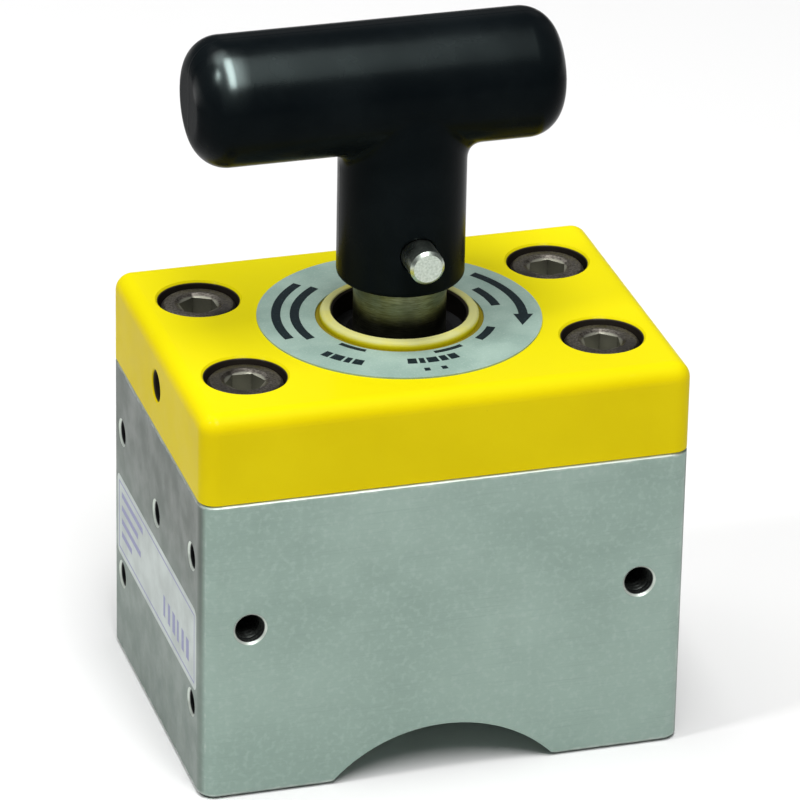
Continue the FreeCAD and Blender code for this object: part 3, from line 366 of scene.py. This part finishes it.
def black_oxide():
    """Blackened screws, with painted light inside the hexagon sockets of the cover's screws.
    """
    graph = Graph("black_oxide_look")
    marks = graph.noise(2400.0, 3.0, 0.6)
    stain = graph.noise(130.0, 3.0)
    share = graph.both(graph.span(marks, 0.3, 0.7), graph.span(stain, 0.2, 0.6))
    tone = graph.mix(share, colour(0.035, 0.030, 0.025), colour(0.150, 0.138, 0.118))
    # Painted light: the socket walls of the cover screws are mixed towards a pale grey.
    socket_radius, soft = 3.5 * MM, 0.2 * MM
    socket_light = graph.span(graph.from_screws(), socket_radius - soft, socket_radius + soft,
                           0.85, 0.0)
    tone = graph.mix(socket_light, tone, colour(0.26, 0.26, 0.21))
    graph.set(Base_Color=tone, Metallic=0.8,
              Roughness=graph.span(stain, 0.25, 0.75, 0.35, 0.50),
              Normal=graph.bump(marks, 0.014 * MM, 0.6))
    return graph.material


def rubber():
    """Matt black rubber with fine moulding grain."""
    graph = Graph("rubber_look")
    grain = graph.noise(1400.0, 3.0)
    graph.set(Base_Color=graph.mix(grain, colour(0.010, 0.010, 0.011),
                                   colour(0.022, 0.022, 0.023)),
              Roughness=graph.span(grain, 0.3, 0.7, 0.55, 0.72), Specular_IOR_Level=0.3,
              Normal=graph.bump(grain, 0.03 * MM, 0.6))
    return graph.material


def label_foil(name, shade, light):
    """Printed foil, slightly rippled where it is stuck down."""
    graph = Graph(name)
    clouds = graph.noise(150.0, 3.0)
    fibres = graph.noise(2600.0, 2.0)
    tone = graph.mix(graph.span(clouds, 0.3, 0.7), shade, light)
    tone = graph.mix(graph.span(fibres, 0.5, 0.8, 0.0, 0.3), tone, colour(0.60, 0.66, 0.65))
    ripple = graph.bump(graph.noise(260.0, 2.0), 0.02 * MM, 0.5)
    graph.set(Base_Color=tone, Roughness=graph.span(fibres, 0.3, 0.7, 0.40, 0.52),
              Specular_IOR_Level=0.3, Normal=graph.bump(fibres, 0.006 * MM, 0.5, ripple))
    return graph.material


def ink(name, tone, faded):
    """Print on a label, thin enough in places for the foil to show."""
    graph = Graph(name)
    wear = graph.noise(1700.0, 4.0, 0.65)
    graph.set(Base_Color=graph.mix(graph.span(wear, 0.55, 0.80), tone, faded),
              Roughness=graph.span(wear, 0.3, 0.7, 0.50, 0.62),
              Specular_IOR_Level=0.15, Normal=graph.bump(wear, 0.01 * MM, 0.5))
    return graph.material


def make_looks():
    """Every finish of the object, by name."""
    turned, even = (500.0, 500.0, 6500.0), (2400.0, 2400.0, 2400.0)
    return {
        "plated_steel": plated_steel(),
        "yellow_paint": yellow_paint(),
        "black_plastic": black_plastic(),
        "rubber": rubber(),
        "label_foil": label_foil("label_foil_look", colour(0.24, 0.35, 0.30),
                                 colour(0.31, 0.43, 0.37)),
        # Painted light: a lighter copy of the foil, for the label on the shaded side face.
        "side_foil_painted_light": label_foil("side_foil_painted_light_look", colour(0.42, 0.47, 0.45),
                                colour(0.54, 0.60, 0.575)),
        "label_ink": ink("label_ink_look", colour(0.006, 0.014, 0.017),
                         colour(0.06, 0.10, 0.11)),
        "faint_ink": ink("faint_ink_look", colour(0.30, 0.31, 0.48),
                         colour(0.48, 0.52, 0.58)),
        "black_oxide": black_oxide(),
        "bright_steel": metal("bright_steel_look", colour(0.40, 0.46, 0.40),
                              colour(0.60, 0.66, 0.60), 0.32, even, depth=0.004),
        "shaft_steel": metal("shaft_steel_look", colour(0.12, 0.125, 0.075),
                             colour(0.27, 0.28, 0.19), 0.34, turned),
        "spring_steel": metal("spring_steel_look", colour(0.25, 0.25, 0.25),
                              colour(0.45, 0.45, 0.46), 0.30, even),
        "magnet_nickel": metal("magnet_nickel_look", colour(0.55, 0.53, 0.47),
                               colour(0.75, 0.73, 0.67), 0.22, even),
        "bronze": metal("bronze_look", colour(0.36, 0.22, 0.09),
                        colour(0.62, 0.42, 0.20), 0.38, even),
        # Painted shade: the threads sit deep in the tapped holes and are coloured near-black.
        "thread_steel": metal("thread_steel_painted_shade_look", colour(0.020, 0.022, 0.020),
                              colour(0.075, 0.085, 0.078), 0.42, even, metallic=0.6),
    }


LOOKS = make_looks()


def dress_nodes():
    """Give each CAD node the finish that its slot in the record names, except the side label.
    """
    for row in frame["record"]["subparts"]:
        mesh = frame["nodes"][row["node"]].data
        # Painted light: the side label, on the shaded side face, gets the lighter copy of the
        # foil.
        look = "side_foil_painted_light" if row["node"] == "side_label" else row["material_slot"]
        mesh.materials.clear()
        mesh.materials.append(LOOKS[look])


# ---------------------------------------------------------------- mesh helpers

def make_piece(name, points, faces, look, body, sharp_deg=35.0):
    """A mesh piece in millimetres of the CAD frame, riding on a body.

    Edges that bend by more than sharp_deg are drawn sharp; with None, none is.
    """
    mesh = bpy.data.meshes.new(name)
    mesh.from_pydata([tuple(c * MM for c in point) for point in points], [], faces)
    mesh.validate()
    mesh.shade_smooth()
    if sharp_deg:
        mesh.set_sharp_from_angle(angle=math.radians(sharp_deg))
    mesh.materials.append(LOOKS[look])
    piece = bpy.data.objects.new(name, mesh)
    bpy.context.scene.collection.objects.link(piece)
    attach(piece, body)
    return piece


def tube_faces(rings, columns):
    """Quads between successive rings of points, and a face that closes each end."""
    faces = []
    for ring in range(rings - 1):
        for step in range(columns):
            following = (step + 1) % columns
            low, high = ring * columns, (ring + 1) * columns
            faces.append((low + step, low + following, high + following, high + step))
    last = (rings - 1) * columns
    faces.append(tuple(reversed(range(columns))))
    faces.append(tuple(range(last, last + columns)))
    return faces


def in_mm(vector):
    return Vector(vector) / MM


# ---------------------------------------------------------------- T-handle

class Handle:
    """Sizes of the moulding in millimetres, from its CAD box where that gives them."""

    low, high = in_mm(Place.handle_low), in_mm(Place.handle_high)
    bar_radius = (high.y - low.y) / 2
    bar_axis = high.z - bar_radius
    bar_end_radius = 6.0
    stem_radius = bar_radius - 0.2
    stem_edge_radius = 1.0
    blend = 3.0
    shaft_radius = 8.0
    bore_gap = 0.22
    bore_depth = 7.0
    pin_radius = (in_mm(Place.pin_high).x - in_mm(Place.pin_low).x) / 2
    pin_level = (in_mm(Place.pin_high).z + in_mm(Place.pin_low).z) / 2
    pin_gap = 0.12
    rim = 0.3
    grid_step = 0.42
    grid_band = 3 * grid_step
    snap_passes = 8


def rounded_rod(along, around, start, end, radius, rounding):
    """Signed distance to a rod with rounded ends, from along and around the axis."""
    side = around - (radius - rounding)
    cap = np.abs(along - (start + end) / 2) - ((end - start) / 2 - rounding)
    outside = np.hypot(np.maximum(side, 0.0), np.maximum(cap, 0.0))
    return outside + np.minimum(np.maximum(side, cap), 0.0) - rounding


def soft_minimum(first, second, width):
    """The smaller of two distances, blended where they differ by less than a width."""
    width = np.maximum(width, 1e-6)
    share = np.clip(0.5 + 0.5 * (second - first) / width, 0.0, 1.0)
    return second * (1 - share) + first * share - width * share * (1 - share)


def handle_field(x, y, z):
    """Signed distance, in millimetres, to the T-handle's surface."""
    h = Handle
    up = z - h.bar_axis
    around_bar = np.hypot(y, up)
    around_stem = np.hypot(x, y)
    bar = rounded_rod(x, around_bar, h.low.x, h.high.x, h.bar_radius, h.bar_end_radius)
    stem = rounded_rod(z, around_stem, h.low.z, h.bar_axis, h.stem_radius,
                       h.stem_edge_radius)
    # The blend dies out where bar and stem face the same way, at their front and back.
    same_way = y * y / np.maximum(around_bar * around_stem, 1e-3)
    body = soft_minimum(bar, stem, h.blend * (1.0 - np.clip(same_way, 0.0, 1.0)))
    bore = rounded_rod(z, around_stem, h.low.z - h.bore_depth, h.low.z + h.bore_depth,
                       h.shaft_radius + h.bore_gap, h.rim)
    pin_hole = np.hypot(x, z - h.pin_level) - (h.pin_radius + h.pin_gap)
    pin_hole = np.maximum(pin_hole, h.shaft_radius - np.abs(y) + h.rim)
    hollow = np.minimum(bore, pin_hole)
    return -soft_minimum(-body, hollow, h.rim)


def field_slope(points, reach=0.02):
    """Gradient of the handle's field at points."""
    slope = np.empty_like(points)
    for axis in range(3):
        shift = np.zeros(3)
        shift[axis] = reach
        ahead, behind = (points + shift).T, (points - shift).T
        slope[:, axis] = (handle_field(*ahead) - handle_field(*behind)) / (2 * reach)
    return slope


def make_t_handle():
    """The moulding as one smooth skin, its stem blended into the bar.

    A grid gives the quads, and their corners are then moved onto the exact surface.
    """
    h = Handle
    margin = 4 * h.grid_step
    start = np.array(h.low) - margin
    counts = np.ceil((np.array(h.high) + margin - start) / h.grid_step).astype(int)
    lines = [start[axis] + h.grid_step * np.arange(counts[axis]) for axis in range(3)]
    field = handle_field(*np.meshgrid(*lines, indexing="ij"))
    grid = openvdb.FloatGrid(h.grid_band)
    grid.copyFromArray(np.clip(field, -h.grid_band, h.grid_band).astype(np.float32))
    cells, quads = grid.convertToQuads(isovalue=0.0)
    points = start + np.asarray(cells, float) * h.grid_step
    for _ in range(h.snap_passes):
        slope = field_slope(points)
        size = np.maximum((slope * slope).sum(1), 0.2)
        points -= slope * (handle_field(*points.T) / size)[:, None]
    faces = [tuple(int(index) for index in quad) for quad in quads]
    piece = make_piece("t_handle_skin", points.tolist(), faces, "black_plastic",
                       "rotor", sharp_deg=None)
    slope = field_slope(points)
    normals = slope / np.linalg.norm(slope, axis=1)[:, None]
    piece.data.normals_split_custom_set_from_vertices(normals.tolist())
    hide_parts("t_handle")


# ---------------------------------------------------------------- cover screws

class CapScrew:
    """M8 socket-head cap screw, millimetres from the underside of its head."""

    head_radius = 6.5
    head_height = 8.0
    shank_radius = 4.0
    core_radius = 3.35
    grip = 7.2
    length = 30.0
    half_flats = 3.0
    socket_depth = 4.0
    knurl_depth = 0.16
    knurls = 48
    columns = 144
    closing_radius = 0.05


def hexagon_radius(angle, half_flats):
    """Distance from the centre to a hexagon's side, flats across X."""
    sector = math.radians(60)
    within = (angle + sector / 2) % sector - sector / 2
    return half_flats / math.cos(within)


def cap_screw_rings():
    """(height, radius as a function of angle) from the tip up and into the socket.

    The shank above the grip is plain and below it is drawn at the thread's core, as in the
    CAD. The head has a knurled band, a rounded top edge and a bevel round its socket.
    """
    s = CapScrew

    def knurled(angle):
        return s.head_radius - s.knurl_depth * (0.5 + 0.5 * math.cos(s.knurls * angle))

    def round_at(radius):
        return lambda angle: radius

    def hexagon(spread):
        return lambda angle: hexagon_radius(angle, s.half_flats + spread)

    floor = s.head_height - s.socket_depth
    return [
        (-s.length, round_at(s.closing_radius)), (-s.length, round_at(s.core_radius - 0.8)),
        (-s.length + 0.8, round_at(s.core_radius)), (-s.grip, round_at(s.core_radius)),
        (-s.grip, round_at(s.shank_radius)), (-0.3, round_at(s.shank_radius)),
        (0.0, round_at(s.shank_radius + 0.3)), (0.0, round_at(s.head_radius - 0.35)),
        (0.35, round_at(s.head_radius - 0.12)), (1.3, round_at(s.head_radius - 0.12)),
        (1.6, knurled), (s.head_height - 1.5, knurled),
        (s.head_height - 1.15, round_at(s.head_radius - 0.05)),
        (s.head_height - 0.7, round_at(s.head_radius - 0.05)),
        (s.head_height - 0.15, round_at(s.head_radius - 0.5)),
        (s.head_height, round_at(s.head_radius - 0.9)),
        (s.head_height, round_at(4.15)), (s.head_height - 0.12, round_at(3.95)),
        (s.head_height - 0.55, hexagon(0.0)), (floor, hexagon(0.0)),
        (floor - 0.05, hexagon(-0.1)), (floor - 1.1, round_at(s.closing_radius)),
    ]


def make_cap_screw(index):
    """A cover screw with its knurled head, at its CAD node's place."""
    low, high = (in_mm(corner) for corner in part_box(f"cover_screw_{index}"))
    centre = (low + high) / 2
    seat = high.z - CapScrew.head_height
    turned = math.radians(17 + 23 * index)    # each screw stopped at its own angle
    rings = cap_screw_rings()
    points = []
    for height, radius_at in rings:
        for column in range(CapScrew.columns):
            angle = 2 * math.pi * column / CapScrew.columns
            radius = radius_at(angle)
            points.append((centre.x + radius * math.cos(angle + turned),
                           centre.y + radius * math.sin(angle + turned), seat + height))
    piece = make_piece(f"cover_screw_{index}_head", points,
                       tube_faces(len(rings), CapScrew.columns), "black_oxide",
                       "base", sharp_deg=28.0)
    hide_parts(f"cover_screw_{index}")


# ---------------------------------------------------------------- threads in the tapped holes

class Thread:
    """Threads in the tapped holes, in millimetres.

    foot and crest are half the ridge's width at the wall and at its top, and height is how
    far it rises; these and first_turn are in pitches. buried is how deep its foot lies in
    the wall.
    """

    m5 = {"pitch": 0.8, "depth": 7.2}
    m6 = {"pitch": 1.0, "depth": 9.0}
    largest_m5_radius = 2.3
    clear_of_mouth = 0.5
    foot, crest, height = 0.42, 0.07, 0.30
    first_turn = 0.45
    buried = 0.03
    columns_per_turn = 28


def make_thread(name, mouth, axis, radius, pitch, depth):
    """A helical ridge on the wall of a tapped hole; axis points out of its mouth."""
    t = Thread
    start = t.clear_of_mouth + t.first_turn * pitch
    steps = int((depth - start) / pitch * t.columns_per_turn)
    fade_steps = t.columns_per_turn / 2
    axis = Vector(axis).normalized()
    side = axis.orthogonal().normalized()
    other = axis.cross(side)
    points = []
    for step in range(steps + 1):
        angle = 2 * math.pi * step / t.columns_per_turn
        rise = t.height * pitch * min(1.0, step / fade_steps, (steps - step) / fade_steps)
        outward = side * math.cos(angle) + other * math.sin(angle)
        sunk = start + pitch * step / t.columns_per_turn
        for offset, inset in ((-t.foot, -t.buried), (-t.crest, rise),
                              (t.crest, rise), (t.foot, -t.buried)):
            place = mouth - axis * (sunk + offset * pitch) + outward * (radius - inset)
            points.append(tuple(place))
    return make_piece(name, points, tube_faces(steps + 1, 4), "thread_steel", "base",
                      sharp_deg=50.0)


def hole_places():
    """(name, mouth in mm, axis, radius in mm) of each tapped hole that is a mount."""
    places = []
    for mount in frame["record"]["mounts"]:
        axis, dims = Vector(mount["axis"]), mount["dims"]
        if mount["kind"] not in ("threaded_hole", "bolt_pattern"):
            continue
        first, second = [Vector(row) for row in Matrix.Identity(3)
                         if abs(axis.dot(Vector(row))) < 0.5]
        across = first * dims.get("spacing_x_mm", 0.0) / 2
        up = second * dims.get("spacing_y_mm", 0.0) / 2
        middle = in_mm(mount["pos_m"])
        centres = {tuple(middle + across * i + up * k) for i in (-1, 1) for k in (-1, 1)}
        radius = dims.get("r_mm", dims.get("hole_r_mm"))
        for number, centre in enumerate(sorted(centres), start=1):
            name = f"{mount['name']}_{number}_thread"
            places.append((name, on_face(Vector(centre), axis), axis, radius))
    return places


def on_face(centre, axis):
    """Move a point along an axis to the face of the block's box."""
    low, high = in_mm(Place.block_low), in_mm(Place.block_high)
    moved = Vector(centre)
    for index in range(3):
        if axis[index] > 0.5:
            moved[index] = high[index]
        elif axis[index] < -0.5:
            moved[index] = low[index]
    return moved


def make_threads():
    """A thread in every tapped hole of the block, and in the detent's hole."""
    for name, mouth, axis, radius in hole_places():
        size = Thread.m6 if radius > Thread.largest_m5_radius else Thread.m5
        make_thread(name, mouth, axis, radius, size["pitch"], size["depth"])
    low, high = in_mm(Place.detent_low), in_mm(Place.detent_high)
    axis = Vector((-1, 0, 0))
    mouth = on_face((low + high) / 2, axis)
    detent_radius = 2.5
    make_thread("detent_hole_thread", mouth, axis, detent_radius, Thread.m6["pitch"],
                low.x - mouth.x)


# ---------------------------------------------------------------- label prints

PRINT_HEIGHT = 0.03


class Print:
    """Flat marks that are raised a hair above a label."""

    def __init__(self, to_frame):
        self.to_frame = to_frame
        self.points = []
        self.faces = []

    def slab(self, outline):
        """A filled mark from an outline of (across, up) points, anticlockwise."""
        count = len(outline)
        first = len(self.points)
        for lift in (0.0, PRINT_HEIGHT):
            self.points += [self.to_frame(across, up, lift) for across, up in outline]
        self.faces.append(tuple(first + count + i for i in range(count)))
        self.faces.append(tuple(first + i for i in reversed(range(count))))
        for i in range(count):
            j = (i + 1) % count
            self.faces.append((first + i, first + j, first + count + j, first + count + i))

    def bar(self, left, right, low, high):
        self.slab([(left, low), (right, low), (right, high), (left, high)])

    def arc(self, radius, width, start_deg, end_deg):
        """A band along a circle, as short slabs that share their ends."""
        degrees_each = 4
        pieces = max(2, int(abs(end_deg - start_deg) / degrees_each))
        for i in range(pieces):
            angles = [math.radians(start_deg + (end_deg - start_deg) * (i + k) / pieces)
                      for k in (0, 1)]
            inner, outer = radius - width / 2, radius + width / 2
            self.slab([(inner * math.cos(angles[0]), inner * math.sin(angles[0])),
                       (outer * math.cos(angles[0]), outer * math.sin(angles[0])),
                       (outer * math.cos(angles[1]), outer * math.sin(angles[1])),
                       (inner * math.cos(angles[1]), inner * math.sin(angles[1]))])

    def arrow(self, radius, angle_deg, length_deg, width):
        """A head at the end of an arc; a negative length points clockwise."""
        base, tip = math.radians(angle_deg), math.radians(angle_deg + length_deg)
        inner, outer = radius - width / 2, radius + width / 2
        corners = [(inner * math.cos(base), inner * math.sin(base)),
                   (outer * math.cos(base), outer * math.sin(base)),
                   (radius * math.cos(tip), radius * math.sin(tip))]
        self.slab(corners if length_deg > 0 else corners[::-1])


def make_dial_print():
    """Double arcs beside the shaft, a turning arrow, and plain bars at the front.

    Radii and widths in millimetres; angles in degrees, anticlockwise from +X.
    """
    top = in_mm(Place.dial_high).z
    marks = Print(lambda across, up, lift: (across, up, top + lift))
    for radius, start, end in ((21.2, 130, 192), (18.0, 128, 197), (21.3, -13, 37),
                               (17.2, -1, 24)):
        marks.arc(radius, 1.6, start, end)
    marks.arrow(21.3, -13, -12, 3.4)
    marks.arc(16.2, 1.5, -50, -31)
    for radius, start, end in ((15.4, -147, -128), (15.6, -84, -64)):
        marks.arc(radius, 0.9, start, end)
    gap = 1.3
    for radius, start, widths in ((20.0, -146, (4, 6, 3, 5)), (18.2, -102, (5, 3, 6, 4, 5))):
        angle = start
        for width in widths:
            marks.arc(radius, 1.9, angle, angle + width)
            angle += width + gap
    for angle in (-95, -87):
        marks.arc(21.6, 1.1, angle, angle + 2.6)
    make_piece("dial_print", marks.points, marks.faces, "label_ink", "base")


def make_side_print():
    """A thin frame line, plain bars and a row of short bars on the side label."""
    low, high = in_mm(Place.side_low), in_mm(Place.side_high)
    thinner = 0.6
    marks = Print(lambda across, up, lift: (low.x - lift * thinner, -across, up))
    side_margin, end_margin, line = 1.2, 1.1, 0.3
    left, right = -high.y + side_margin, -low.y - side_margin
    bottom, top = low.z + end_margin, high.z - end_margin
    marks.bar(left, right, bottom, bottom + line)
    marks.bar(left, right, top - line, top)
    marks.bar(left, left + line, bottom + line, top - line)
    marks.bar(right - line, right, bottom + line, top - line)
    longest = 24.0
    for index, share in enumerate((0.62, 0.48, 0.56, 0.30)):
        level = top - 2.7 - 2.6 * index
        marks.bar(left + 2.0, left + 2.0 + longest * share, level, level + 1.1)
    for index in range(6):
        start = right - 21.0 + 3.1 * index
        marks.bar(start, start + 1.2 + 0.3 * (index % 3), bottom + 2.4, bottom + 6.4)
    make_piece("side_print", marks.points, marks.faces, "faint_ink", "base")


# ---------------------------------------------------------------- stage, light and camera

def make_stage():
    """A wide pale floor that the block stands on."""
    size, drop = 12.0, 0.2 * MM
    mesh = bpy.data.meshes.new("floor")
    mesh.from_pydata([(-size, -size, 0), (size, -size, 0), (size, size, 0), (-size, size, 0)],
                     [], [(0, 1, 2, 3)])
    graph = Graph("floor_look")
    graph.set(Base_Color=graph.mix(graph.noise(3.0), colour(0.73, 0.73, 0.73),
                                   colour(0.76, 0.76, 0.76)), Roughness=0.9)
    mesh.materials.append(graph.material)
    floor = bpy.data.objects.new("floor", mesh)
    floor.location.z = -drop
    bpy.context.scene.collection.objects.link(floor)


def make_light(name, place, target, size, power):
    """A white rectangular light: metres and watts."""
    data = bpy.data.lights.new(name, "AREA")
    data.shape = "RECTANGLE"
    data.size, data.size_y = size
    data.energy = power
    light = bpy.data.objects.new(name, data)
    light.location = place
    facing = Vector(target) - Vector(place)
    light.rotation_euler = facing.to_track_quat("-Z", "Y").to_euler()
    bpy.context.scene.collection.objects.link(light)


def make_lights():
    """Soft light from above and behind, an accent for the handle's highlight, a pale world."""
    middle = (0.0, 0.0, 0.06)
    make_light("overhead", (0.0, -0.42, 1.36), middle, (0.5, 1.3), 24.0)
    make_light("accent", (-0.84, -0.20, 1.05), (-0.034, -0.005, 0.12), (0.16, 0.34), 4.8)
    make_light("back", (-0.45, 0.60, 1.25), middle, (0.9, 0.9), 6.0)
    make_light("glare", (0.6, 1.4, 0.8), middle, (0.9, 0.6), 0.6)
    world = bpy.data.worlds.new("studio")
    world.use_nodes = True
    background = world.node_tree.nodes["Background"].inputs
    background["Color"].default_value = colour(1, 1, 1)
    background["Strength"].default_value = 0.12
    bpy.context.scene.world = world
    bpy.context.scene.view_settings.view_transform = "Standard"


def make_camera():
    """A long lens from the front left, above; angles in degrees, lengths in metres."""
    azimuth, elevation, roll = math.radians(-16.90), math.radians(26.19), math.radians(-1.13)
    aim = Vector((0.0, 0.0, 0.05))
    shift_right, shift_up, distance = -0.51 * MM, -5.45 * MM, 1.0378
    right = Vector((math.cos(azimuth), math.sin(azimuth), 0))
    back = Vector((math.sin(azimuth) * math.cos(elevation),
                   -math.cos(azimuth) * math.cos(elevation), math.sin(elevation)))
    up = back.cross(right)
    rolled_right = right * math.cos(roll) - up * math.sin(roll)
    rolled_up = right * math.sin(roll) + up * math.cos(roll)
    place = aim - rolled_right * shift_right - rolled_up * shift_up + back * distance
    data = bpy.data.cameras.new("camera")
    data.sensor_width = 36.0
    data.lens = 270.0
    data.clip_start, data.clip_end = 0.05, 30.0
    camera = bpy.data.objects.new("camera", data)
    turn = Matrix((rolled_right, rolled_up, back)).transposed().to_4x4()
    camera.matrix_world = Matrix.Translation(place) @ turn
    bpy.context.scene.collection.objects.link(camera)
    bpy.context.scene.camera = camera


# ---------------------------------------------------------------- the whole

dress_nodes()
make_t_handle()
for screw in range(1, 5):
    make_cap_screw(screw)
make_threads()
make_dial_print()
make_side_print()
make_stage()
make_lights()
make_camera()
